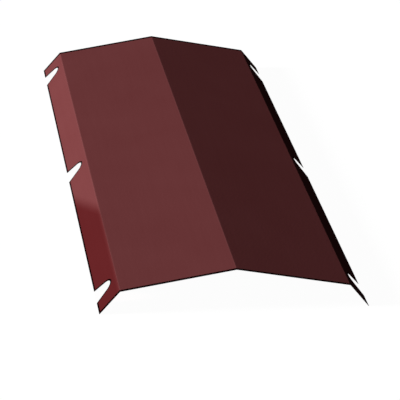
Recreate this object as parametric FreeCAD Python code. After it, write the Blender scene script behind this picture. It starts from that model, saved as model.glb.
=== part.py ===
"""Ridge cap for a standing seam roof: one strip of pre-painted steel sheet, punched and then folded.

The strip has a bend along the ridge line, which leaves two shallow flanges, and a bend along the outer side of each
flange, which turns down a steeper lip. Each lip has a tapered notch with a round tip over every standing seam that
the cap crosses. The notches were punched square through the flat sheet, so their walls stand square to the lip.

Lengths are in millimetres and angles in degrees. The cap stands on the free edges of its lips. The origin is on the
floor below the middle of the ridge line, +Y runs along the ridge line and +Z is up.
"""

import FreeCAD, Part
import math
import os

from FreeCAD import Placement, Rotation, Vector

# Standing seams that the cap crosses, and the sheet beyond the outermost ones, which laps over the next cap
SEAM_PITCH = 475.0
SEAM_COUNT = 3
END_MARGIN = 58.5

# Folded section: widths run over the outer face, from one bend line to the next, and slopes are below level
SHEET_THICKNESS = 0.5
FLANGE_WIDTH = 177.0
FLANGE_SLOPE = 10.0
LIP_WIDTH = 47.0
LIP_SLOPE = 50.0
BEND_INNER_RADIUS = 2.5

# Notch in the lip: its width at the free edge, its depth up the lip, and the radius of its tip
NOTCH_MOUTH = 41.5
NOTCH_DEPTH = 33.7
NOTCH_TIP_RADIUS = 13.5

# How far each punch runs past the free edge and past both faces of the sheet
PUNCH_OVERRUN = 5.0

SHEET_LENGTH = (SEAM_COUNT - 1) * SEAM_PITCH + 2 * END_MARGIN
BEND_OUTER_RADIUS = BEND_INNER_RADIUS + SHEET_THICKNESS


def down_slope(slope):
    """The direction that falls towards +X at this slope, in the plane of the section."""
    return Vector(math.cos(math.radians(slope)), 0, -math.sin(math.radians(slope)))


def outward(slope):
    """The normal of the outer face of sheet that falls towards +X at this slope."""
    return Vector(math.sin(math.radians(slope)), 0, math.cos(math.radians(slope)))


# Right half of the outer face: its bend line and free edge, once the lip's inner corner stands on the floor
LIP_RUN = down_slope(LIP_SLOPE) * LIP_WIDTH
FLANGE_RUN = down_slope(FLANGE_SLOPE) * FLANGE_WIDTH
FREE_EDGE_HEIGHT = outward(LIP_SLOPE).z * SHEET_THICKNESS
RIDGE = Vector(0, 0, FREE_EDGE_HEIGHT - LIP_RUN.z - FLANGE_RUN.z)
BEND = RIDGE + FLANGE_RUN
FREE_EDGE = BEND + LIP_RUN


def mirrored(point):
    """The same point on the other side of the ridge line."""
    return Vector(-point.x, point.y, point.z)


def inner_corner(corner, slope_before, slope_after):
    """The corner of the inner face below a corner of the outer face, between two slopes of the sheet."""
    half_turn = math.radians(slope_after - slope_before) / 2
    mean_slope = (slope_before + slope_after) / 2
    return corner - outward(mean_slope) * (SHEET_THICKNESS / math.cos(half_turn))


def rounded_run(corners, radius):
    """Edges along these corners, with an arc of this radius tangent to the runs at each corner between."""
    edges = []
    start = corners[0]
    for before, corner, after in zip(corners, corners[1:], corners[2:]):
        back = (before - corner).normalize()
        ahead = (after - corner).normalize()
        half_angle = back.getAngle(ahead) / 2
        set_back = radius / math.tan(half_angle)
        arc_start = corner + back * set_back
        arc_end = corner + ahead * set_back
        towards_centre = (back + ahead).normalize()
        arc_middle = corner + towards_centre * (radius / math.sin(half_angle) - radius)
        edges.append(Part.LineSegment(start, arc_start).toShape())
        edges.append(Part.Arc(arc_start, arc_middle, arc_end).toShape())
        start = arc_end
    edges.append(Part.LineSegment(start, corners[-1]).toShape())
    return edges


def folded_section():
    """The cap's section: the outer face's run, the inner face's run, and the two cut edges that join them."""
    outer = [mirrored(FREE_EDGE), mirrored(BEND), RIDGE, BEND, FREE_EDGE]
    inner_bend = inner_corner(BEND, FLANGE_SLOPE, LIP_SLOPE)
    inner_ridge = inner_corner(RIDGE, -FLANGE_SLOPE, FLANGE_SLOPE)
    inner_edge = FREE_EDGE - outward(LIP_SLOPE) * SHEET_THICKNESS
    inner = [mirrored(inner_edge), mirrored(inner_bend), inner_ridge, inner_bend, inner_edge]
    edges = rounded_run(outer, BEND_OUTER_RADIUS) + rounded_run(inner, BEND_INNER_RADIUS)
    edges.append(Part.LineSegment(outer[0], inner[0]).toShape())
    edges.append(Part.LineSegment(outer[-1], inner[-1]).toShape())
    return Part.Face(Part.Wire(Part.__sortEdges__(edges)))


def folded_sheet():
    """The section run along the ridge line, with no notches yet."""
    section = folded_section()
    section.translate(Vector(0, -SHEET_LENGTH / 2, 0))
    return section.extrude(Vector(0, SHEET_LENGTH, 0))


def notch_punch():
    """One punch on the flat lip: X runs along the free edge, Y up the lip from it, and Z out of the outer face."""
    tip_centre = Vector(0, NOTCH_DEPTH - NOTCH_TIP_RADIUS, 0)
    mouth_corner = Vector(NOTCH_MOUTH / 2, 0, 0)
    to_centre = tip_centre - mouth_corner
    # The notch's side leaves the mouth's corner and is tangent to the round tip
    off_centre = math.asin(NOTCH_TIP_RADIUS / to_centre.Length)
    heading = math.atan2(to_centre.y, to_centre.x) - off_centre
    side = Vector(math.cos(heading), math.sin(heading), 0)
    tangent_point = mouth_corner + side * (to_centre.Length * math.cos(off_centre))
    mouth_end = mouth_corner - side * (PUNCH_OVERRUN / side.y)
    tip = tip_centre + Vector(0, NOTCH_TIP_RADIUS, 0)

    outline = Part.Wire([
        Part.LineSegment(mirrored(mouth_end), mouth_end).toShape(),
        Part.LineSegment(mouth_end, tangent_point).toShape(),
        Part.Arc(tangent_point, tip, mirrored(tangent_point)).toShape(),
        Part.LineSegment(mirrored(tangent_point), mirrored(mouth_end)).toShape(),
    ])
    outline.translate(Vector(0, 0, -SHEET_THICKNESS - PUNCH_OVERRUN))
    return Part.Face(outline).extrude(Vector(0, 0, SHEET_THICKNESS + 2 * PUNCH_OVERRUN))


def seam_positions():
    """Where the standing seams cross the cap, along the ridge line, with the middle of the row at the origin."""
    middle = (SEAM_COUNT - 1) / 2
    return [(number - middle) * SEAM_PITCH for number in range(SEAM_COUNT)]


def notch_punches():
    """A punch at each seam on the right lip, and its mirror image on the left lip."""
    along, up_lip, out = Vector(0, 1, 0), -down_slope(LIP_SLOPE), outward(LIP_SLOPE)
    onto_lip = Rotation(along, up_lip, out, "ZXY")
    punches = []
    for position in seam_positions():
        punch = notch_punch()
        punch.Placement = Placement(FREE_EDGE + Vector(0, position, 0), onto_lip)
        punches.append(punch)
        punches.append(punch.mirror(Vector(0, 0, 0), Vector(1, 0, 0)))
    return punches


def ridge_cap():
    """The whole cap: the folded sheet with its notches."""
    return folded_sheet().cut(Part.makeCompound(notch_punches())).Solids[0]


def main():
    os.makedirs("parts", exist_ok=True)
    cap = ridge_cap()
    cap.exportStep("parts/ridge_cap.step")
    box = cap.BoundBox
    print(f"ridge_cap: {box.XLength:.1f} x {box.YLength:.1f} x {box.ZLength:.1f} mm")
    print(f"lowest point {box.ZMin:.4f} mm, volume {cap.Volume:.0f} mm3, valid {cap.isValid()}")


main()
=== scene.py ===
"""Looks of the ridge cap: one strip of painted steel sheet, punched flat and then folded.

The sheet is made as the real one is. A flat blank is laid out on stations. Geometry Nodes punch six notches
out of its long sides, give it its thickness, and fold first the lips and then the ridge. Its surfaces are the
painted face, the back coat under it, and the sheared steel of every cut edge.

Lengths are in metres and angles in radians. +Y runs along the ridge line and +Z is up. The cap stands on the
free edges of its lips, at z = 0.
"""

import math

import bpy
from mathutils import Matrix, Vector


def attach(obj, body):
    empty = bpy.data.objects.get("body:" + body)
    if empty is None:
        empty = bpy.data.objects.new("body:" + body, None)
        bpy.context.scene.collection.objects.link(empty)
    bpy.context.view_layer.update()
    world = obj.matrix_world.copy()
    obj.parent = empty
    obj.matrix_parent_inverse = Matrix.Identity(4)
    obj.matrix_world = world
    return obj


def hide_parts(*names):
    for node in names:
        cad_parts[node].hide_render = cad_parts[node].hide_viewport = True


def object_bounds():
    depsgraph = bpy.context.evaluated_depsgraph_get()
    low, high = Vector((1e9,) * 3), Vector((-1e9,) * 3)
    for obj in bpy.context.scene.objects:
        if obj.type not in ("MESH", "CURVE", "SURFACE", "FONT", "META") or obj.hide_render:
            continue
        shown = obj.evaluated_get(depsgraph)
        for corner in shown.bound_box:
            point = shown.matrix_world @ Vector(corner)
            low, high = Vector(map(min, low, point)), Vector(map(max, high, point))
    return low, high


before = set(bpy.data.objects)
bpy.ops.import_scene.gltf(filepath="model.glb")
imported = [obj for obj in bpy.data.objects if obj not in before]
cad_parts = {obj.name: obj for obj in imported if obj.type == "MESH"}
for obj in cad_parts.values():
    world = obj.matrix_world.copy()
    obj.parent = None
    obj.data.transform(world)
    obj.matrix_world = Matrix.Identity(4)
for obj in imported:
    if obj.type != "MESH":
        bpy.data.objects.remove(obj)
cad_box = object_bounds()

# The sheet: widths run over the painted face, from one bend line to the next, and slopes are below level
MM = 0.001
SHEET_LENGTH = cad_box[1].y - cad_box[0].y
SEAM_PITCH = 475 * MM
SEAM_COUNT = 3
END_MARGIN = (SHEET_LENGTH - (SEAM_COUNT - 1) * SEAM_PITCH) / 2
SHEET_THICKNESS = 0.5 * MM
FLANGE_WIDTH = 177 * MM
FLANGE_SLOPE = math.radians(10)
LIP_WIDTH = 47 * MM
LIP_SLOPE = math.radians(50)

# The radius of the painted face round each bend
BEND_RADIUS = 3 * MM

# The notch: its width at the free edge, its depth up the lip, and the radius of its tip
NOTCH_MOUTH = 41.5 * MM
NOTCH_DEPTH = 33.7 * MM
NOTCH_TIP_RADIUS = 13.5 * MM

# How far thin sheet strays from flat between its bends, and over what length
SHEET_WAVINESS = 0.2 * MM
WAVE_LENGTH = 160 * MM

# The blank's mesh: the strips beside each bend and free edge, and its steps round a notch's tip
BEND_STRIP = 2 * MM
RIM_STRIP = 4 * MM
TIP_STEPS = 14

# The mesh's steps from a seam to the middle of the bay, and how much they crowd towards the seam
BAY_STEPS = 26
BAY_CROWDING = 1.6

# Stations are rounded to this many digits, which makes one of two that meet in the middle of a bay
STATION_DIGITS = 7

# Two places this close are one, two counts this close are equal, and an edge sharper than this is crisp
SAME_PLACE = 1e-6
SAME_COUNT = 0.1
CRISP_ANGLE = math.radians(30)

# A noise pattern's middle value, and how far most of it strays from that
NOISE_MIDDLE = 0.5
NOISE_SWING = 0.2

# The coat: its colours, its dull gloss, and the real size of each pattern in it
COAT_DEEP = "#633132"
COAT_PALE = "#683637"
COAT_IOR = 1.5
COAT_SPECULAR = 0.01
COAT_ROUGHNESS = 0.75
ROUGHNESS_SPREAD = 0.05
DRIFT_LENGTH = 120 * MM
STREAK_WIDTH = 9 * MM
STREAK_SQUEEZE = 0.04
PEEL_SIZE = 4 * MM
PEEL_HEIGHT = 0.09 * MM

# The coat's grain: the real one is ten times finer, and it is drawn this coarse so that it shows close by
GRAIN_SIZE = 0.7 * MM
GRAIN_HEIGHT = 0.03 * MM

# How much the streaks and the grain count in the coat's shade beside its drift, and how far all three stray
STREAK_WEIGHT = 0.5
GRAIN_WEIGHT = 1.2
SHADE_SPREAD = 0.45

# The coat stretched over a bend: its colour, its strength, and how far out it starts to fade and is gone
COAT_STRETCHED = "#703E3F"
STRETCH_STRENGTH = 0.5
STRETCH_START = 0.4 * MM
STRETCH_REACH = 2.2 * MM

# The dark outline painted beside a cut, which is painted edge shade: the real cut edge is a few tenths of a
# millimetre, and this is wide enough to show
OUTLINE_COLOUR = "#0F0405"
EDGE_OUTLINE = 2.5 * MM
NEAR_END_OUTLINE = 4.6 * MM
FAR_END_OUTLINE = 6.6 * MM

# How far the outline fades past its full width, how much that varies, and the size of the noise that varies
# it
OUTLINE_FADE = 1.0 * MM
OUTLINE_RAGGEDNESS = 1.4 * MM
OUTLINE_NOISE_SIZE = 5 * MM

# The back coat, and the steel of the cut edges, coloured nearly black as painted edge shade
BACK_DARK = "#A3A49F"
BACK_PALE = "#B9BAB4"
BACK_ROUGHNESS = 0.6
# The steel's colours are nearly black, which is painted edge shade
STEEL_DARK = "#1C1516"
STEEL_PALE = "#342B2C"
STEEL_METALLIC = 0.6
STEEL_ROUGHNESS = 0.6

# Light: one low lamp on the left, whose azimuth turns from +Y towards +X, and a little light from everywhere
KEY_AZIMUTH = math.radians(-90)
KEY_ELEVATION = math.radians(20.4)
KEY_STRENGTH = 6.03
KEY_SPREAD = math.radians(12)
AMBIENT = 0.042

# The floor: cameras see it glow nearly white, and the share that lamps light whitens it outside the shadow
WHITE = "#FFFFFF"
FLOOR_REACH = 60
FLOOR_GLOW = 1.025
FLOOR_LIT = 0.05

# Light that only scatters meets a dim floor, and a reflection shows hardly any of the white
FLOOR_BOUNCE = "#454545"
WHITE_IN_GLOSS = 0.01

# The filter on the lamp: its colour, its gap to the lip, and how far it runs past the lip's end and edge
FILTER_COLOUR = "#C79094"
FILTER_GAP = 4 * MM
FILTER_OVERHANG = 2 * MM
FILTER_DROP = 0.5 * MM

# Where the filter starts to fade and ends, along the bend, and how much farther on that is at the free edge
FILTER_FADE = -253 * MM
FILTER_END = -181 * MM
FILTER_SLANT = 120 * MM

# The filter's strength at the bend, how far from it the strength is full, and how steeply it gets there
FILTER_AT_BEND = 0.7
FILTER_BEND_REACH = 6 * MM
FILTER_BEND_CURVE = 0.6

# The photograph's camera: where it stands, the point it looks at, its roll, and its lens and sensor in mm
CAMERA_PLACE = Vector((-0.53931, -3.65316, 1.51112))
CAMERA_TARGET = Vector((0.02276, 0.0, -0.04673))
CAMERA_ROLL = math.radians(2.051)
CAMERA_LENS = 210.53
CAMERA_SENSOR = 36

# How near and how far the camera sees
CAMERA_NEAREST = 0.1
CAMERA_FARTHEST = 200

# The section laid flat, as distances from the ridge line over the painted face
LIP_TURN = LIP_SLOPE - FLANGE_SLOPE
RIDGE_ARC_END = BEND_RADIUS * FLANGE_SLOPE
RIDGE_SET_BACK = BEND_RADIUS * math.tan(FLANGE_SLOPE)
LIP_SET_BACK = BEND_RADIUS * math.tan(LIP_TURN / 2)
LIP_ARC_START = RIDGE_ARC_END + FLANGE_WIDTH - RIDGE_SET_BACK - LIP_SET_BACK
LIP_ARC_END = LIP_ARC_START + BEND_RADIUS * LIP_TURN
HALF_BLANK = LIP_ARC_END + LIP_WIDTH - LIP_SET_BACK

# Heights above the floor, on which the lip's inner corner stands: the bend line's, and the ridge's
LIP_BEND_HEIGHT = LIP_WIDTH * math.sin(LIP_SLOPE) + SHEET_THICKNESS * math.cos(LIP_SLOPE)
RIDGE_LINE_HEIGHT = LIP_BEND_HEIGHT + FLANGE_WIDTH * math.sin(FLANGE_SLOPE)
RIDGE_HEIGHT = RIDGE_LINE_HEIGHT - BEND_RADIUS * (1 / math.cos(FLANGE_SLOPE) - 1)

# The notch's straight side leaves the mouth and is tangent to its round tip, at this angle off square
TIP_CENTRE = NOTCH_DEPTH - NOTCH_TIP_RADIUS
SIDE_ANGLE = (
    math.pi / 2
    - math.atan2(TIP_CENTRE, NOTCH_MOUTH / 2)
    - math.asin(NOTCH_TIP_RADIUS / math.hypot(TIP_CENTRE, NOTCH_MOUTH / 2))
)

# The sizes that the punches need, and all those that the whole sheet needs, by the names of their inputs
PUNCH_SIZES = {
    "Seam Pitch": SEAM_PITCH,
    "Seam Count": SEAM_COUNT,
    "End Margin": END_MARGIN,
    "Half Blank": HALF_BLANK,
    "Notch Mouth": NOTCH_MOUTH,
    "Notch Depth": NOTCH_DEPTH,
    "Tip Radius": NOTCH_TIP_RADIUS,
    "Side Angle": SIDE_ANGLE,
}
SHEET_SIZES = PUNCH_SIZES | {
    "Thickness": SHEET_THICKNESS,
    "Lip Bend Line": LIP_ARC_START,
    "Lip Turn": LIP_TURN,
    "Flange Turn": FLANGE_SLOPE,
    "Bend Radius": BEND_RADIUS,
    "Ridge Height": RIDGE_HEIGHT,
    "Sheet Length": SHEET_LENGTH,
    "Waviness": SHEET_WAVINESS,
}

# The kinds of node that are used most
MATHS = "ShaderNodeMath"
VECTOR_MATHS = "ShaderNodeVectorMath"
NOISE = "ShaderNodeTexNoise"
MAP_RANGE = "ShaderNodeMapRange"
MIX = "ShaderNodeMix"

# The sockets of a Mix node that mixes colours, and of a Compare node that compares whole numbers
COLOUR_A = 6
COLOUR_B = 7
MIXED_COLOUR = 2
WHOLE_A = 2
WHOLE_B = 3


def linear(hex_colour):
    """A colour written as sRGB hex, as the linear values that shaders take."""
    channels = [int(hex_colour[place:place + 2], 16) / 255 for place in (1, 3, 5)]
    return [c / 12.92 if c <= 0.04045 else ((c + 0.055) / 1.055) ** 2.4 for c in channels] + [1.0]


def add_node(tree, kind, settings=None, inputs=None):
    """Adds a node. Each input, by name or number, takes a value, a socket, or the first output of a node."""
    node = tree.nodes.new(kind)
    for name, value in (settings or {}).items():
        setattr(node, name, value)
    for key, value in (inputs or {}).items():
        if isinstance(value, bpy.types.Node):
            value = value.outputs[0]
        if isinstance(value, bpy.types.NodeSocket):
            tree.links.new(value, node.inputs[key])
        else:
            node.inputs[key].default_value = value
    return node


# The flat blank


def evenly(start, end, steps):
    """Stations from start up to, but not with, end."""
    return [start + (end - start) * number / steps for number in range(steps)]


def stations_across():
    """Where the mesh has a line along the blank: closer together at bends, round tips and free edges."""
    tip_centre = HALF_BLANK - TIP_CENTRE
    tip_angles = evenly(math.pi / 2, SIDE_ANGLE, TIP_STEPS)
    half = [tip_centre - NOTCH_TIP_RADIUS * math.sin(angle) for angle in tip_angles]
    tangent = tip_centre - NOTCH_TIP_RADIUS * math.sin(SIDE_ANGLE)

    # Each run between the ridge line and the free edge: where it starts and ends, and its steps
    for start, end, steps in (
        (0, RIDGE_ARC_END, 3),
        (RIDGE_ARC_END, RIDGE_ARC_END + BEND_STRIP, 1),
        (RIDGE_ARC_END + BEND_STRIP, LIP_ARC_START - BEND_STRIP, 12),
        (LIP_ARC_START - BEND_STRIP, LIP_ARC_START, 1),
        (LIP_ARC_START, LIP_ARC_END, 12),
        (LIP_ARC_END, LIP_ARC_END + BEND_STRIP, 1),
        (LIP_ARC_END + BEND_STRIP, HALF_BLANK - NOTCH_DEPTH, 5),
        (tangent, HALF_BLANK - RIM_STRIP, 6),
        (HALF_BLANK - RIM_STRIP, HALF_BLANK, 5),
    ):
        half += evenly(start, end, steps)
    half.append(HALF_BLANK)
    half.sort()
    return [-place for place in reversed(half[1:])] + half


def stations_along():
    """Where the mesh has a line across the blank: on both ends and every seam, and closer near a seam."""
    places = set()
    for number in range(SEAM_COUNT):
        seam = (number - (SEAM_COUNT - 1) / 2) * SEAM_PITCH
        before = END_MARGIN if number == 0 else SEAM_PITCH / 2
        after = END_MARGIN if number == SEAM_COUNT - 1 else SEAM_PITCH / 2
        for step in range(BAY_STEPS + 1):
            share = (step / BAY_STEPS) ** BAY_CROWDING
            places.add(round(seam - before * share, STATION_DIGITS))
            places.add(round(seam + after * share, STATION_DIGITS))
    return sorted(places)


def flat_blank():
    """The uncut blank, as a flat mesh of quads with its painted face up."""
    across = stations_across()
    along = stations_along()
    points = [(x, y, 0) for x in across for y in along]
    row = len(along)
    quads = []
    for i in range(len(across) - 1):
        for j in range(row - 1):
            corner = i * row + j
            quads.append((corner, corner + row, corner + row + 1, corner + 1))
    mesh = bpy.data.meshes.new("flat_blank")
    mesh.from_pydata(points, [], quads)
    blank = bpy.data.objects.new("flat_blank", mesh)
    bpy.context.collection.objects.link(blank)
    return blank


# Punching


def new_tree(name, sizes):
    """A Geometry Nodes tree with geometry in and out and an input for each size, and its inputs by name."""
    tree = bpy.data.node_groups.new(name, "GeometryNodeTree")
    tree.interface.new_socket("Geometry", in_out="INPUT", socket_type="NodeSocketGeometry")
    for label in sizes:
        tree.interface.new_socket(label, in_out="INPUT", socket_type="NodeSocketFloat")
    tree.interface.new_socket("Geometry", in_out="OUTPUT", socket_type="NodeSocketGeometry")
    return tree, add_node(tree, "NodeGroupInput").outputs


def nearest_seam(tree, given, along):
    """How far a point lies past its nearest seam, and how far the sheet runs on that side of the seam."""
    # The seam's number, counted from the first, and its place along the blank
    last = add_node(tree, MATHS, {"operation": "SUBTRACT"}, {0: given["Seam Count"], 1: 1.0})
    middle = add_node(tree, MATHS, {"operation": "MULTIPLY"}, {0: last, 1: 0.5})
    pitches = add_node(tree, MATHS, {"operation": "DIVIDE"}, {0: along, 1: given["Seam Pitch"]})
    counted = add_node(tree, MATHS, {"operation": "ADD"}, {0: pitches, 1: middle})
    whole = add_node(tree, MATHS, {"operation": "ROUND"}, {0: counted})
    number = add_node(tree, "ShaderNodeClamp", {}, {"Value": whole, "Min": 0.0, "Max": last})
    steps = add_node(tree, MATHS, {"operation": "SUBTRACT"}, {0: number, 1: middle})
    seam = add_node(tree, MATHS, {"operation": "MULTIPLY"}, {0: steps, 1: given["Seam Pitch"]})
    off_seam = add_node(tree, MATHS, {"operation": "SUBTRACT"}, {0: along, 1: seam})

    # The sheet runs on to the middle of the bay, and past the first and the last seam to its end
    first = add_node(tree, MATHS, {"operation": "COMPARE"}, {0: number, 1: 0.0, 2: SAME_COUNT})
    final = add_node(tree, MATHS, {"operation": "COMPARE"}, {0: number, 1: last, 2: SAME_COUNT})
    behind = add_node(tree, MATHS, {"operation": "LESS_THAN"}, {0: off_seam, 1: 0.0})
    ahead = add_node(tree, MATHS, {"operation": "GREATER_THAN"}, {0: off_seam, 1: 0.0})
    at_start = add_node(tree, MATHS, {"operation": "MULTIPLY"}, {0: first, 1: behind})
    at_end = add_node(tree, MATHS, {"operation": "MULTIPLY"}, {0: final, 1: ahead})
    outside = add_node(tree, MATHS, {"operation": "ADD"}, {0: at_start, 1: at_end})
    half_pitch = add_node(tree, MATHS, {"operation": "MULTIPLY"}, {0: given["Seam Pitch"], 1: 0.5})
    room = add_node(
        tree, MIX, {"data_type": "FLOAT"}, {"Factor": outside, "A": half_pitch, "B": given["End Margin"]}
    )
    return off_seam, room


def notch_half_width(tree, given, height):
    """Half the notch's width at a height up from the free edge: a straight side, then the round tip."""
    taper = add_node(tree, MATHS, {"operation": "TANGENT"}, {0: given["Side Angle"]})
    lost = add_node(tree, MATHS, {"operation": "MULTIPLY"}, {0: height, 1: taper})
    half_mouth = add_node(tree, MATHS, {"operation": "MULTIPLY"}, {0: given["Notch Mouth"], 1: 0.5})
    straight = add_node(tree, MATHS, {"operation": "SUBTRACT"}, {0: half_mouth, 1: lost})
    radius = given["Tip Radius"]
    centre = add_node(tree, MATHS, {"operation": "SUBTRACT"}, {0: given["Notch Depth"], 1: radius})
    up = add_node(tree, MATHS, {"operation": "SUBTRACT"}, {0: height, 1: centre})
    up_squared = add_node(tree, MATHS, {"operation": "MULTIPLY"}, {0: up, 1: up})
    radius_squared = add_node(tree, MATHS, {"operation": "MULTIPLY"}, {0: radius, 1: radius})
    inside = add_node(tree, MATHS, {"operation": "SUBTRACT"}, {0: radius_squared, 1: up_squared})
    kept = add_node(tree, MATHS, {"operation": "MAXIMUM"}, {0: inside, 1: 0.0})
    round_tip = add_node(tree, MATHS, {"operation": "SQRT"}, {0: kept})
    sine = add_node(tree, MATHS, {"operation": "SINE"}, {0: given["Side Angle"]})
    tangent = add_node(tree, MATHS, {"operation": "MULTIPLY_ADD"}, {0: sine, 1: radius, 2: centre})
    in_tip = add_node(tree, MATHS, {"operation": "GREATER_THAN"}, {0: height, 1: tangent})
    return add_node(tree, MIX, {"data_type": "FLOAT"}, {"Factor": in_tip, "A": straight, "B": round_tip})


def punch_tree():
    """A row of punches over the seams: splits the mesh on each seam line and opens it to the notch."""
    tree, given = new_tree("notch_punches", PUNCH_SIZES)
    position = add_node(tree, "GeometryNodeInputPosition")
    place = add_node(tree, "ShaderNodeSeparateXYZ", {}, {0: position}).outputs
    out = add_node(tree, MATHS, {"operation": "ABSOLUTE"}, {0: place["X"]})
    height = add_node(tree, MATHS, {"operation": "SUBTRACT"}, {0: given["Half Blank"], 1: out})
    below_tip = add_node(tree, MATHS, {"operation": "LESS_THAN"}, {0: height, 1: given["Notch Depth"]})
    half_width = notch_half_width(tree, given, height)
    off_seam, room = nearest_seam(tree, given, place["Y"])
    distance = add_node(tree, MATHS, {"operation": "ABSOLUTE"}, {0: off_seam})

    # Only the mesh's edges that run up a seam line, below the tip, are split
    ends = add_node(tree, "GeometryNodeInputMeshEdgeVertices").outputs
    run = add_node(
        tree, VECTOR_MATHS, {"operation": "SUBTRACT"}, {0: ends["Position 1"], 1: ends["Position 2"]}
    )
    run = add_node(tree, "ShaderNodeSeparateXYZ", {}, {0: run}).outputs
    on_seam = add_node(tree, MATHS, {"operation": "LESS_THAN"}, {0: distance, 1: SAME_PLACE})
    up_lip = add_node(tree, MATHS, {"operation": "COMPARE"}, {0: run["Y"], 1: 0.0, 2: SAME_PLACE})
    chosen = add_node(tree, MATHS, {"operation": "MULTIPLY"}, {0: on_seam, 1: up_lip})
    chosen = add_node(tree, MATHS, {"operation": "MULTIPLY"}, {0: chosen, 1: below_tip})
    chosen = add_node(
        tree, "GeometryNodeFieldOnDomain", {"data_type": "BOOLEAN", "domain": "EDGE"}, {0: chosen}
    )
    split = add_node(tree, "GeometryNodeSplitEdges", {}, {"Mesh": given["Geometry"], "Selection": chosen})

    # A point on a seam line is on neither side of it, so it takes the side that its faces are on
    side = add_node(tree, MATHS, {"operation": "SIGN"}, {0: off_seam})
    side = add_node(tree, "GeometryNodeFieldOnDomain", {"data_type": "FLOAT", "domain": "FACE"}, {0: side})

    # Each point moves away from its seam, but less the nearer it is to the middle of the bay or to an end
    share = add_node(tree, MATHS, {"operation": "DIVIDE"}, {0: distance, 1: room})
    left = add_node(tree, MATHS, {"operation": "SUBTRACT", "use_clamp": True}, {0: 1.0, 1: share})
    shift = add_node(tree, MATHS, {"operation": "MULTIPLY"}, {0: half_width, 1: left})
    shift = add_node(tree, MATHS, {"operation": "MULTIPLY"}, {0: shift, 1: side})
    shift = add_node(tree, MATHS, {"operation": "MULTIPLY"}, {0: shift, 1: below_tip})
    offset = add_node(tree, "ShaderNodeCombineXYZ", {}, {"Y": shift})
    opened = add_node(tree, "GeometryNodeSetPosition", {}, {"Geometry": split, "Offset": offset})
    add_node(tree, "NodeGroupOutput", {}, {0: opened})
    return tree


# What the flat sheet carries into the fold


def with_flat_map(tree, given, flat_sheet):
    """The flat sheet is its own UV map, one unit to its length, so patterns follow it round its bends."""
    position = add_node(tree, "GeometryNodeInputPosition")
    corner = add_node(
        tree, "ShaderNodeCombineXYZ", {}, {"X": given["Half Blank"], "Y": given["Sheet Length"]}
    )
    to_corner = add_node(tree, VECTOR_MATHS, {"operation": "MULTIPLY"}, {0: corner, 1: (1.0, 0.5, 0.0)})
    from_corner = add_node(tree, VECTOR_MATHS, {"operation": "ADD"}, {0: position, 1: to_corner})
    scale = add_node(tree, MATHS, {"operation": "DIVIDE"}, {0: 1.0, 1: given["Sheet Length"]})
    flat = add_node(tree, VECTOR_MATHS, {"operation": "SCALE"}, {0: from_corner, "Scale": scale})
    return add_node(
        tree, "GeometryNodeStoreNamedAttribute", {"data_type": "FLOAT2", "domain": "CORNER"},
        {"Geometry": flat_sheet, "Name": "UVMap", "Value": flat},
    )


def with_edge_distance(tree, flat_sheet):
    """Each point keeps its distance from the nearest cut edge, for the dark outline of painted edge shade
    beside it.
    """
    # A cut edge of the flat sheet has one face beside it, and every other edge has two
    neighbours = add_node(tree, "GeometryNodeInputMeshEdgeNeighbors")
    alone = add_node(
        tree, "FunctionNodeCompare", {"data_type": "INT", "operation": "EQUAL"},
        {WHOLE_A: neighbours, WHOLE_B: 1},
    )
    cut = add_node(
        tree, "GeometryNodeSeparateGeometry", {"domain": "EDGE"},
        {"Geometry": flat_sheet, "Selection": alone},
    )
    nearest = add_node(
        tree, "GeometryNodeProximity", {"target_element": "EDGES"}, {0: cut.outputs["Selection"]}
    )
    return add_node(
        tree, "GeometryNodeStoreNamedAttribute", {"data_type": "FLOAT", "domain": "POINT"},
        {"Geometry": flat_sheet, "Name": "edge_distance", "Value": nearest.outputs["Distance"]},
    )


def with_waves(tree, given, flat_sheet):
    """Thin sheet is never quite flat: it waves a little between its bends, which hold it straight."""
    position = add_node(tree, "GeometryNodeInputPosition")
    ripple = add_node(
        tree, NOISE, {"noise_dimensions": "3D"}, {"Vector": position, "Scale": 1 / WAVE_LENGTH, "Detail": 0.0}
    )
    centred = add_node(tree, MATHS, {"operation": "SUBTRACT"}, {0: ripple, 1: NOISE_MIDDLE})
    place = add_node(tree, "ShaderNodeSeparateXYZ", {}, {0: position}).outputs
    out = add_node(tree, MATHS, {"operation": "ABSOLUTE"}, {0: place["X"]})
    over_flange = add_node(
        tree, MATHS, {"operation": "DIVIDE", "use_clamp": True}, {0: out, 1: given["Lip Bend Line"]}
    )
    arch = add_node(tree, MATHS, {"operation": "MULTIPLY"}, {0: over_flange, 1: math.pi})
    arch = add_node(tree, MATHS, {"operation": "SINE"}, {0: arch})
    freedom = add_node(tree, MATHS, {"operation": "MULTIPLY"}, {0: arch, 1: given["Waviness"]})
    wave = add_node(tree, MATHS, {"operation": "MULTIPLY"}, {0: centred, 1: freedom})
    offset = add_node(tree, "ShaderNodeCombineXYZ", {}, {"Z": wave})
    return add_node(tree, "GeometryNodeSetPosition", {}, {"Geometry": flat_sheet, "Offset": offset})


# Thickness and folding


def with_thickness(tree, given, face):
    """The back is the painted face turned over and moved down. The walls between them are the cut edges."""
    turned_over = add_node(tree, "GeometryNodeFlipFaces", {}, {"Mesh": face})
    lowered = add_node(
        tree, "GeometryNodeExtrudeMesh", {"mode": "FACES"},
        {
            "Mesh": turned_over,
            "Offset": (0.0, 0.0, -1.0),
            "Offset Scale": given["Thickness"],
            "Individual": False,
        },
    )
    both = add_node(tree, "GeometryNodeJoinGeometry", {}, {0: lowered})
    tree.links.new(face.outputs[0], both.inputs[0])
    solid = add_node(tree, "GeometryNodeMergeByDistance", {}, {"Geometry": both, "Distance": SAME_PLACE})
    return solid, lowered.outputs["Top"], lowered.outputs["Side"]


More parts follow.
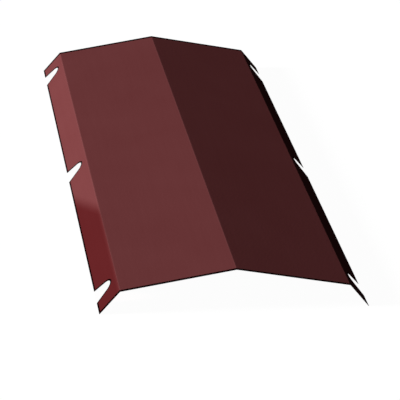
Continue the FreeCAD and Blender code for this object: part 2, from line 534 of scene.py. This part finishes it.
def fold_tree():
    """A press brake: bends both sides of the sheet down about a line at the same distance from the middle."""
    tree, given = new_tree("press_brake", ["Bend Line", "Turn", "Radius"])
    position = add_node(tree, "GeometryNodeInputPosition")
    place = add_node(tree, "ShaderNodeSeparateXYZ", {}, {0: position}).outputs
    out = add_node(tree, MATHS, {"operation": "ABSOLUTE"}, {0: place["X"]})
    side = add_node(tree, MATHS, {"operation": "SIGN"}, {0: place["X"]})

    # Sheet past the bend line first fills the arc, and what is left runs on straight
    before = add_node(tree, MATHS, {"operation": "MINIMUM"}, {0: out, 1: given["Bend Line"]})
    past = add_node(tree, MATHS, {"operation": "SUBTRACT"}, {0: out, 1: before})
    wanted = add_node(tree, MATHS, {"operation": "DIVIDE"}, {0: past, 1: given["Radius"]})
    turned = add_node(tree, MATHS, {"operation": "MINIMUM"}, {0: wanted, 1: given["Turn"]})
    arc = add_node(tree, MATHS, {"operation": "MULTIPLY"}, {0: turned, 1: given["Radius"]})
    straight = add_node(tree, MATHS, {"operation": "SUBTRACT"}, {0: past, 1: arc})

    # Everything turns about an axis one radius under the painted face
    above = add_node(tree, MATHS, {"operation": "ADD"}, {0: place["Z"], 1: given["Radius"]})
    sine = add_node(tree, MATHS, {"operation": "SINE"}, {0: turned})
    cosine = add_node(tree, MATHS, {"operation": "COSINE"}, {0: turned})
    reach = add_node(tree, MATHS, {"operation": "MULTIPLY_ADD"}, {0: above, 1: sine, 2: before})
    reach = add_node(tree, MATHS, {"operation": "MULTIPLY_ADD"}, {0: straight, 1: cosine, 2: reach})
    drop = add_node(tree, MATHS, {"operation": "MULTIPLY_ADD"}, {0: straight, 1: sine, 2: given["Radius"]})
    rise = add_node(tree, MATHS, {"operation": "MULTIPLY"}, {0: above, 1: cosine})
    height = add_node(tree, MATHS, {"operation": "SUBTRACT"}, {0: rise, 1: drop})
    sideways = add_node(tree, MATHS, {"operation": "MULTIPLY"}, {0: reach, 1: side})
    bent = add_node(tree, "ShaderNodeCombineXYZ", {}, {"X": sideways, "Y": place["Y"], "Z": height})
    moved = add_node(tree, "GeometryNodeSetPosition", {}, {"Geometry": given["Geometry"], "Position": bent})
    add_node(tree, "NodeGroupOutput", {}, {0: moved})
    return tree


def with_folds(tree, given, solid):
    """The sheet goes through the press brake for its lips and again for its ridge, and then stands up."""
    press_brake = fold_tree()
    folded = solid
    for bend_line, turn in ((given["Lip Bend Line"], given["Lip Turn"]), (0.0, given["Flange Turn"])):
        folded = add_node(
            tree, "GeometryNodeGroup", {"node_tree": press_brake},
            {"Geometry": folded, "Bend Line": bend_line, "Turn": turn, "Radius": given["Bend Radius"]},
        )
    up = add_node(tree, "ShaderNodeCombineXYZ", {}, {"Z": given["Ridge Height"]})
    return add_node(tree, "GeometryNodeSetPosition", {}, {"Geometry": folded, "Offset": up})


def with_crisp_edges(tree, folded):
    """Bends are smooth and cut edges crisp."""
    smooth = add_node(tree, "GeometryNodeSetShadeSmooth", {"domain": "FACE"}, {0: folded})
    angle = add_node(tree, "GeometryNodeInputMeshEdgeAngle").outputs["Unsigned Angle"]
    crisp = add_node(
        tree, "FunctionNodeCompare", {"data_type": "FLOAT", "operation": "GREATER_THAN"},
        {0: angle, 1: CRISP_ANGLE},
    )
    return add_node(
        tree, "GeometryNodeSetShadeSmooth", {"domain": "EDGE"},
        {0: smooth, "Selection": crisp, "Shade Smooth": False},
    )


def sheet_tree(painted, back, sheared):
    """From flat blank to folded sheet, with the material of each of its surfaces."""
    tree, given = new_tree("folded_sheet", SHEET_SIZES)
    punched = add_node(
        tree, "GeometryNodeGroup", {"node_tree": punch_tree()},
        {name: given[name] for name in ["Geometry", *PUNCH_SIZES]},
    )
    mapped = with_flat_map(tree, given, punched)
    measured = with_edge_distance(tree, mapped)
    waved = with_waves(tree, given, measured)
    solid, on_back, on_cuts = with_thickness(tree, given, waved)
    standing = with_folds(tree, given, solid)
    finished = add_node(tree, "GeometryNodeRealizeInstances", {}, {0: with_crisp_edges(tree, standing)})
    for material, chosen in ((painted, True), (back, on_back), (sheared, on_cuts)):
        finished = add_node(
            tree, "GeometryNodeSetMaterial", {},
            {"Geometry": finished, "Selection": chosen, "Material": material},
        )
    add_node(tree, "NodeGroupOutput", {}, {0: finished})
    return tree


def folded_sheet(painted, back, sheared):
    """The finished sheet, as a plain mesh at the origin."""
    blank = flat_blank()
    tree = sheet_tree(painted, back, sheared)
    maker = blank.modifiers.new("punch_and_fold", "NODES")
    maker.node_group = tree
    for socket in tree.interface.items_tree:
        if socket.in_out == "INPUT" and socket.name in SHEET_SIZES:
            maker[socket.identifier] = float(SHEET_SIZES[socket.name])
    evaluated = blank.evaluated_get(bpy.context.evaluated_depsgraph_get())
    mesh = bpy.data.meshes.new_from_object(evaluated)
    mesh.name = "ridge_cap_sheet"

    # The blank has no material of its own, which leaves an empty slot before the three
    if mesh.materials[0] is None:
        numbers = [face.material_index - 1 for face in mesh.polygons]
        mesh.materials.pop(index=0)
        mesh.polygons.foreach_set("material_index", numbers)
    blank.modifiers.remove(maker)
    bpy.data.objects.remove(blank)
    folded = bpy.data.objects.new("ridge_cap_sheet", mesh)
    bpy.context.collection.objects.link(folded)
    return folded


# Materials


def sheet_material(name):
    """A new material, its node tree and its surface shader, and the flat sheet's coordinates in metres."""
    material = bpy.data.materials.new(name)
    material.use_nodes = True
    tree = material.node_tree
    flat = add_node(tree, "ShaderNodeUVMap", {"uv_map": "UVMap"})
    metres = add_node(tree, VECTOR_MATHS, {"operation": "SCALE"}, {0: flat, "Scale": SHEET_LENGTH})
    return material, tree, tree.nodes["Principled BSDF"], metres


def coat_red(tree, metres, grain):
    """The coat's red, a little uneven over the sheet, in streaks the way the strip ran, and in its grain."""
    drift = add_node(tree, NOISE, {}, {"Vector": metres, "Scale": 1 / DRIFT_LENGTH, "Detail": 2.0})
    drawn_out = add_node(
        tree, VECTOR_MATHS, {"operation": "MULTIPLY"}, {0: metres, 1: (1.0, STREAK_SQUEEZE, 1.0)}
    )
    streak = add_node(tree, NOISE, {}, {"Vector": drawn_out, "Scale": 1 / STREAK_WIDTH, "Detail": 3.0})
    depth = add_node(tree, MATHS, {"operation": "MULTIPLY_ADD"}, {0: streak, 1: STREAK_WEIGHT, 2: drift})
    depth = add_node(tree, MATHS, {"operation": "MULTIPLY_ADD"}, {0: grain, 1: GRAIN_WEIGHT, 2: depth})
    middle = (1 + STREAK_WEIGHT + GRAIN_WEIGHT) * NOISE_MIDDLE
    shade = add_node(
        tree, MAP_RANGE, {},
        {"Value": depth, "From Min": middle - SHADE_SPREAD, "From Max": middle + SHADE_SPREAD},
    )
    red = add_node(
        tree, MIX, {"data_type": "RGBA"},
        {"Factor": shade, COLOUR_A: linear(COAT_DEEP), COLOUR_B: linear(COAT_PALE)},
    )
    return red.outputs[MIXED_COLOUR]


def paled_at_bends(tree, metres, colour):
    """On the outside of the bends the coat is stretched, which pales it a little."""
    off_middle = add_node(
        tree, VECTOR_MATHS, {"operation": "SUBTRACT"}, {0: metres, 1: (HALF_BLANK, 0.0, 0.0)}
    )
    across = add_node(tree, "ShaderNodeSeparateXYZ", {}, {0: off_middle}).outputs["X"]
    from_ridge = add_node(tree, MATHS, {"operation": "ABSOLUTE"}, {0: across})
    lip_bend = (LIP_ARC_START + LIP_ARC_END) / 2
    from_bend = add_node(tree, MATHS, {"operation": "SUBTRACT"}, {0: from_ridge, 1: lip_bend})
    from_bend = add_node(tree, MATHS, {"operation": "ABSOLUTE"}, {0: from_bend})
    nearest = add_node(tree, MATHS, {"operation": "MINIMUM"}, {0: from_ridge, 1: from_bend})
    stretched = add_node(
        tree, MAP_RANGE, {"interpolation_type": "SMOOTHSTEP"},
        {
            "Value": nearest,
            "From Min": STRETCH_START,
            "From Max": STRETCH_REACH,
            "To Min": STRETCH_STRENGTH,
            "To Max": 0.0,
        },
    )
    paled = add_node(
        tree, MIX, {"data_type": "RGBA"},
        {"Factor": stretched, COLOUR_A: colour, COLOUR_B: linear(COAT_STRETCHED)},
    )
    return paled.outputs[MIXED_COLOUR]


def painted_outline_at_cuts(tree, metres, colour):
    """A dark outline painted beside each cut edge and wider at the two ends: painted edge shade, not damage
    to the coat.
    """
    from_edge = add_node(tree, "ShaderNodeAttribute", {"attribute_name": "edge_distance"}).outputs["Fac"]
    from_near_end = add_node(tree, "ShaderNodeSeparateXYZ", {}, {0: metres}).outputs["Y"]
    from_far_end = add_node(tree, MATHS, {"operation": "SUBTRACT"}, {0: SHEET_LENGTH, 1: from_near_end})
    outline_noise = add_node(tree, NOISE, {}, {"Vector": metres, "Scale": 1 / OUTLINE_NOISE_SIZE, "Detail": 4.0})
    outline_noise = add_node(tree, MATHS, {"operation": "SUBTRACT"}, {0: outline_noise, 1: NOISE_MIDDLE})
    # The outline is painted edge shade, made ragged by noise
    outline = 0.0
    for distance, full in (
        (from_edge, EDGE_OUTLINE),
        (from_near_end, NEAR_END_OUTLINE),
        (from_far_end, FAR_END_OUTLINE),
    ):
        ragged = add_node(
            tree, MATHS, {"operation": "MULTIPLY_ADD"}, {0: outline_noise, 1: OUTLINE_RAGGEDNESS, 2: distance}
        )
        line = add_node(
            tree, MAP_RANGE, {"interpolation_type": "SMOOTHSTEP"},
            {"Value": ragged, "From Min": full, "From Max": full + OUTLINE_FADE, "To Min": 1.0, "To Max": 0.0},
        )
        outline = add_node(tree, MATHS, {"operation": "MAXIMUM"}, {0: outline, 1: line})
    edged = add_node(
        tree, MIX, {"data_type": "RGBA"}, {"Factor": outline, COLOUR_A: colour, COLOUR_B: linear(OUTLINE_COLOUR)}
    )
    return edged.outputs[MIXED_COLOUR]


def polyester_coat():
    """Wine red polyester coil coating, baked on the flat strip and folded with it.

    It gives a dull, very even colour, a slight orange peel and a fine grain that show only close by, and a
    dark outline painted along each cut edge, which is painted edge shade.
    """
    material, tree, shader, metres = sheet_material("polyester_coil_coating")
    grain = add_node(tree, NOISE, {}, {"Vector": metres, "Scale": 1 / GRAIN_SIZE, "Detail": 3.0})
    colour = coat_red(tree, metres, grain)
    colour = paled_at_bends(tree, metres, colour)
    # A dark outline of painted edge shade along every cut
    colour = painted_outline_at_cuts(tree, metres, colour)
    tree.links.new(colour, shader.inputs["Base Color"])

    # The grain breaks up what little gloss there is
    roughness = add_node(
        tree, MAP_RANGE, {},
        {
            "Value": grain,
            "From Min": NOISE_MIDDLE - NOISE_SWING,
            "From Max": NOISE_MIDDLE + NOISE_SWING,
            "To Min": COAT_ROUGHNESS - ROUGHNESS_SPREAD,
            "To Max": COAT_ROUGHNESS + ROUGHNESS_SPREAD,
        },
    )
    tree.links.new(roughness.outputs[0], shader.inputs["Roughness"])

    # Orange peel, and the grain on it
    peel = add_node(tree, NOISE, {}, {"Vector": metres, "Scale": 1 / PEEL_SIZE, "Detail": 0.0})
    peel = add_node(tree, "ShaderNodeBump", {}, {"Distance": PEEL_HEIGHT, "Height": peel})
    relief = add_node(tree, "ShaderNodeBump", {}, {"Distance": GRAIN_HEIGHT, "Height": grain, "Normal": peel})
    tree.links.new(relief.outputs[0], shader.inputs["Normal"])
    shader.inputs["IOR"].default_value = COAT_IOR
    shader.inputs["Specular IOR Level"].default_value = COAT_SPECULAR
    return material


def back_coat():
    """Pale grey epoxy back coat: one thin plain coat, a little mottled and with a low gloss."""
    material, tree, shader, metres = sheet_material("epoxy_back_coat")
    mottle = add_node(tree, NOISE, {}, {"Vector": metres, "Scale": 1 / DRIFT_LENGTH, "Detail": 4.0})
    colour = add_node(
        tree, MIX, {"data_type": "RGBA"},
        {"Factor": mottle, COLOUR_A: linear(BACK_DARK), COLOUR_B: linear(BACK_PALE)},
    )
    tree.links.new(colour.outputs[MIXED_COLOUR], shader.inputs["Base Color"])
    shader.inputs["Roughness"].default_value = BACK_ROUGHNESS
    return material


def sheared_steel():
    """Zinc coated steel at a sheared edge, coloured nearly black as painted edge shade: it draws a fine dark
    line round the sheet.
    """
    material, tree, shader, metres = sheet_material("sheared_galvanised_steel")
    streak = add_node(tree, NOISE, {}, {"Vector": metres, "Scale": 1 / GRAIN_SIZE, "Detail": 2.0})
    colour = add_node(
        tree, MIX, {"data_type": "RGBA"},
        {"Factor": streak, COLOUR_A: linear(STEEL_DARK), COLOUR_B: linear(STEEL_PALE)},
    )
    tree.links.new(colour.outputs[MIXED_COLOUR], shader.inputs["Base Color"])
    shader.inputs["Metallic"].default_value = STEEL_METALLIC
    shader.inputs["Roughness"].default_value = STEEL_ROUGHNESS
    return material


# The studio


def bare_material(name):
    """A new material, and its node tree with nothing in it."""
    material = bpy.data.materials.new(name)
    material.use_nodes = True
    material.node_tree.nodes.clear()
    return material, material.node_tree


def seen_directly(tree):
    """1 for the camera and through glass, less in a reflection, and 0 for light that only scatters."""
    rays = add_node(tree, "ShaderNodeLightPath").outputs
    in_gloss = add_node(tree, MATHS, {"operation": "MULTIPLY"}, {0: rays["Is Glossy Ray"], 1: WHITE_IN_GLOSS})
    either = add_node(tree, MATHS, {"operation": "MAXIMUM"}, {0: rays["Is Camera Ray"], 1: in_gloss})
    return add_node(tree, MATHS, {"operation": "MAXIMUM"}, {0: either, 1: rays["Is Transmission Ray"]})


def white_paper():
    """White paper that glows where it is seen, and shows the shadow in the small share that lamps light."""
    material, tree = bare_material("white_paper")
    glow = add_node(tree, "ShaderNodeEmission", {}, {"Color": linear(WHITE), "Strength": FLOOR_GLOW})
    lit = add_node(tree, "ShaderNodeBsdfDiffuse", {}, {"Color": linear(WHITE)})
    white = add_node(tree, "ShaderNodeMixShader", {}, {0: FLOOR_LIT, 1: glow, 2: lit})
    dim = add_node(tree, "ShaderNodeBsdfDiffuse", {}, {"Color": linear(FLOOR_BOUNCE)})
    paper = add_node(tree, "ShaderNodeMixShader", {}, {0: seen_directly(tree), 1: dim, 2: white})
    add_node(tree, "ShaderNodeOutputMaterial", {}, {"Surface": paper})
    return material


def studio_floor():
    """A wide floor of white paper."""
    reach = FLOOR_REACH
    mesh = bpy.data.meshes.new("floor")
    corners = [(-reach, -reach, 0), (reach, -reach, 0), (reach, reach, 0), (-reach, reach, 0)]
    mesh.from_pydata(corners, [], [(0, 1, 2, 3)])
    mesh.materials.append(white_paper())
    floor = bpy.data.objects.new("floor", mesh)
    bpy.context.collection.objects.link(floor)


def studio_world():
    """White surroundings where they are seen, and a dim even light from them."""
    world = bpy.data.worlds.new("studio")
    world.use_nodes = True
    tree = world.node_tree
    tree.nodes.clear()
    strength = add_node(tree, MAP_RANGE, {}, {"Value": seen_directly(tree), "To Min": AMBIENT, "To Max": 1.0})
    sky = add_node(tree, "ShaderNodeBackground", {}, {"Color": linear(WHITE), "Strength": strength})
    add_node(tree, "ShaderNodeOutputWorld", {}, {"Surface": sky})
    bpy.context.scene.world = world


def towards_lamp():
    """The direction from the sheet to the key lamp."""
    level = math.cos(KEY_ELEVATION)
    return Vector((math.sin(KEY_AZIMUTH) * level, math.cos(KEY_AZIMUTH) * level, math.sin(KEY_ELEVATION)))


def key_lamp():
    """A big soft lamp, far away."""
    data = bpy.data.lights.new("key", "SUN")
    data.energy = KEY_STRENGTH
    data.angle = KEY_SPREAD
    lamp = bpy.data.objects.new("key", data)
    lamp.rotation_mode = "QUATERNION"
    lamp.rotation_quaternion = towards_lamp().to_track_quat("Z", "Y")
    bpy.context.collection.objects.link(lamp)


def red_filter():
    """The filter's red, which fades out along the sheet and is weaker just beside the bend."""
    material, tree = bare_material("red_filter")
    flat = add_node(tree, "ShaderNodeUVMap", {"uv_map": "UVMap"})
    place = add_node(tree, "ShaderNodeSeparateXYZ", {}, {0: flat}).outputs
    slanted = add_node(
        tree, MATHS, {"operation": "MULTIPLY_ADD"},
        {0: place["X"], 1: -FILTER_SLANT / LIP_WIDTH, 2: place["Y"]},
    )
    along = add_node(
        tree, MAP_RANGE, {"interpolation_type": "SMOOTHSTEP"},
        {"Value": slanted, "From Min": FILTER_FADE, "From Max": FILTER_END, "To Min": 1.0, "To Max": 0.0},
    )
    from_bend = add_node(
        tree, MATHS, {"operation": "DIVIDE", "use_clamp": True}, {0: place["X"], 1: FILTER_BEND_REACH}
    )
    curve = add_node(tree, MATHS, {"operation": "POWER"}, {0: from_bend, 1: FILTER_BEND_CURVE})
    across = add_node(tree, MAP_RANGE, {}, {"Value": curve, "To Min": FILTER_AT_BEND, "To Max": 1.0})
    strength = add_node(tree, MATHS, {"operation": "MULTIPLY"}, {0: along, 1: across})
    colour = add_node(
        tree, MIX, {"data_type": "RGBA"},
        {"Factor": strength, COLOUR_A: linear(WHITE), COLOUR_B: linear(FILTER_COLOUR)},
    )
    clear = add_node(tree, "ShaderNodeBsdfTransparent", {}, {"Color": colour.outputs[MIXED_COLOUR]})
    add_node(tree, "ShaderNodeOutputMaterial", {}, {"Surface": clear})
    return material


def filter_on_lamp():
    """A lighting filter beside the near part of the left lip, which dims and reddens the key lamp there.

    It lies parallel to the lip, and only the lamp's light meets it.
    """
    down = Vector((-math.cos(LIP_SLOPE), 0, -math.sin(LIP_SLOPE)))
    outward = Vector((-math.sin(LIP_SLOPE), 0, math.cos(LIP_SLOPE)))
    bend = Vector((-FLANGE_WIDTH * math.cos(FLANGE_SLOPE), 0, LIP_BEND_HEIGHT))
    top = bend + towards_lamp() * (FILTER_GAP / outward.dot(towards_lamp()))
    bottom = top + down * (LIP_WIDTH + FILTER_DROP)
    near = -SHEET_LENGTH / 2 - FILTER_OVERHANG
    far = FILTER_END + FILTER_SLANT
    corners = [(top, near), (bottom, near), (bottom, far), (top, far)]
    mesh = bpy.data.meshes.new("lamp_filter")
    mesh.from_pydata([(side.x, place, side.z) for side, place in corners], [], [(0, 1, 2, 3)])
    uv = mesh.uv_layers.new(name="UVMap")
    uv.data.foreach_set("uv", [0, near, LIP_WIDTH, near, LIP_WIDTH, far, 0, far])
    mesh.materials.append(red_filter())
    lamp_filter = bpy.data.objects.new("lamp_filter", mesh)
    lamp_filter.visible_camera = False
    lamp_filter.visible_diffuse = False
    lamp_filter.visible_glossy = False
    lamp_filter.visible_transmission = False
    bpy.context.collection.objects.link(lamp_filter)


def camera():
    """The photograph's viewpoint, found from the sheet's corners and notches in it."""
    data = bpy.data.cameras.new("camera")
    data.sensor_width = CAMERA_SENSOR
    data.lens = CAMERA_LENS
    data.clip_start = CAMERA_NEAREST
    data.clip_end = CAMERA_FARTHEST
    eye = bpy.data.objects.new("camera", data)
    towards = (CAMERA_TARGET - CAMERA_PLACE).to_track_quat("-Z", "Y").to_matrix().to_4x4()
    eye.matrix_world = Matrix.Translation(CAMERA_PLACE) @ towards @ Matrix.Rotation(CAMERA_ROLL, 4, "Z")
    bpy.context.collection.objects.link(eye)
    bpy.context.scene.camera = eye


# The scene

sheet = folded_sheet(polyester_coat(), back_coat(), sheared_steel())
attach(sheet, "root")
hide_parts("ridge_cap")

studio_floor()
studio_world()
key_lamp()
filter_on_lamp()
camera()
bpy.context.scene.view_settings.view_transform = "Standard"
